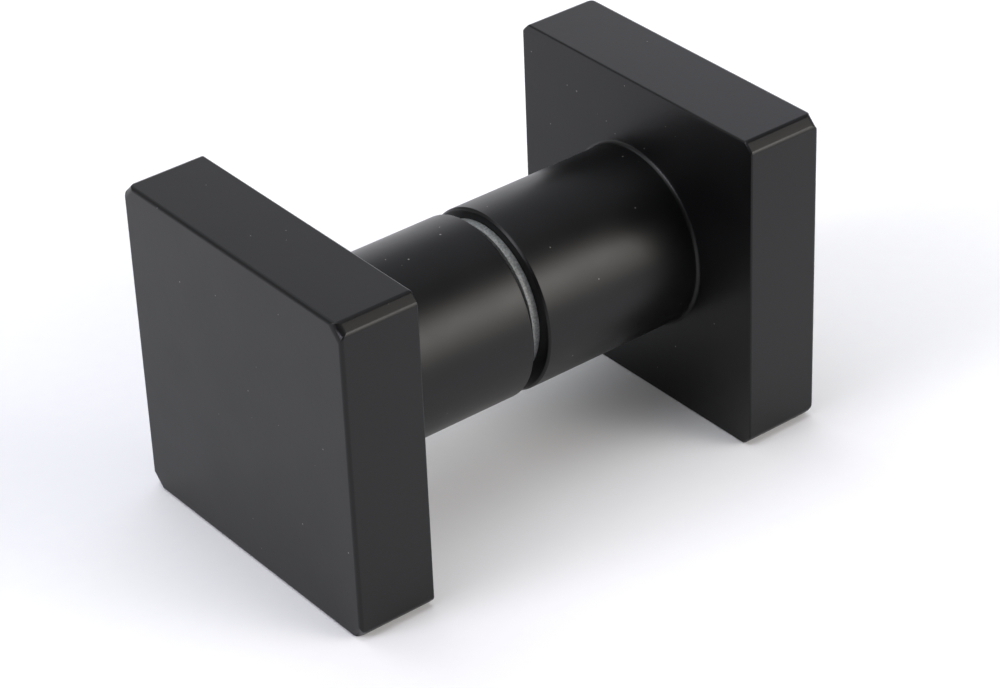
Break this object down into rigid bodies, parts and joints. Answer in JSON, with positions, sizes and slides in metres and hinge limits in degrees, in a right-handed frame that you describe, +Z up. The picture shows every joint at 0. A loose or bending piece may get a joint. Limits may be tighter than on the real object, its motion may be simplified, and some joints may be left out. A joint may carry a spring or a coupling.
{
  "type": "back-to-back door knob",
  "caption": "Back-to-back square knob for a glass door: chamfered square heads on round necks, joined by a stud, with gaskets and a sleeve for the glass.",
  "frame": {"origin": "on the stud's axis, where the two gaskets meet, at the middle of the overall box", "axes": "+X along the stud from the outer knob to the inner knob, +Z up, the heads resting on their lower flats, -Y towards the long side that the picture shows"},
  "size_m": [0.066, 0.04, 0.04],
  "materials": {
    "black_finish": "matte black coating over machined metal",
    "zinc_steel": "zinc-plated steel thread",
    "white_nylon": "natural white nylon",
    "clear_vinyl": "cloudy translucent vinyl, which looks grey between the black necks"
  },
  "bodies": {
    "root": {"outer_knob": "black_finish", "inner_knob": "black_finish", "threaded_stud": "zinc_steel", "glass_sleeve": "white_nylon", "outer_gasket": "clear_vinyl", "inner_gasket": "clear_vinyl"}
  },
  "joints": []
}
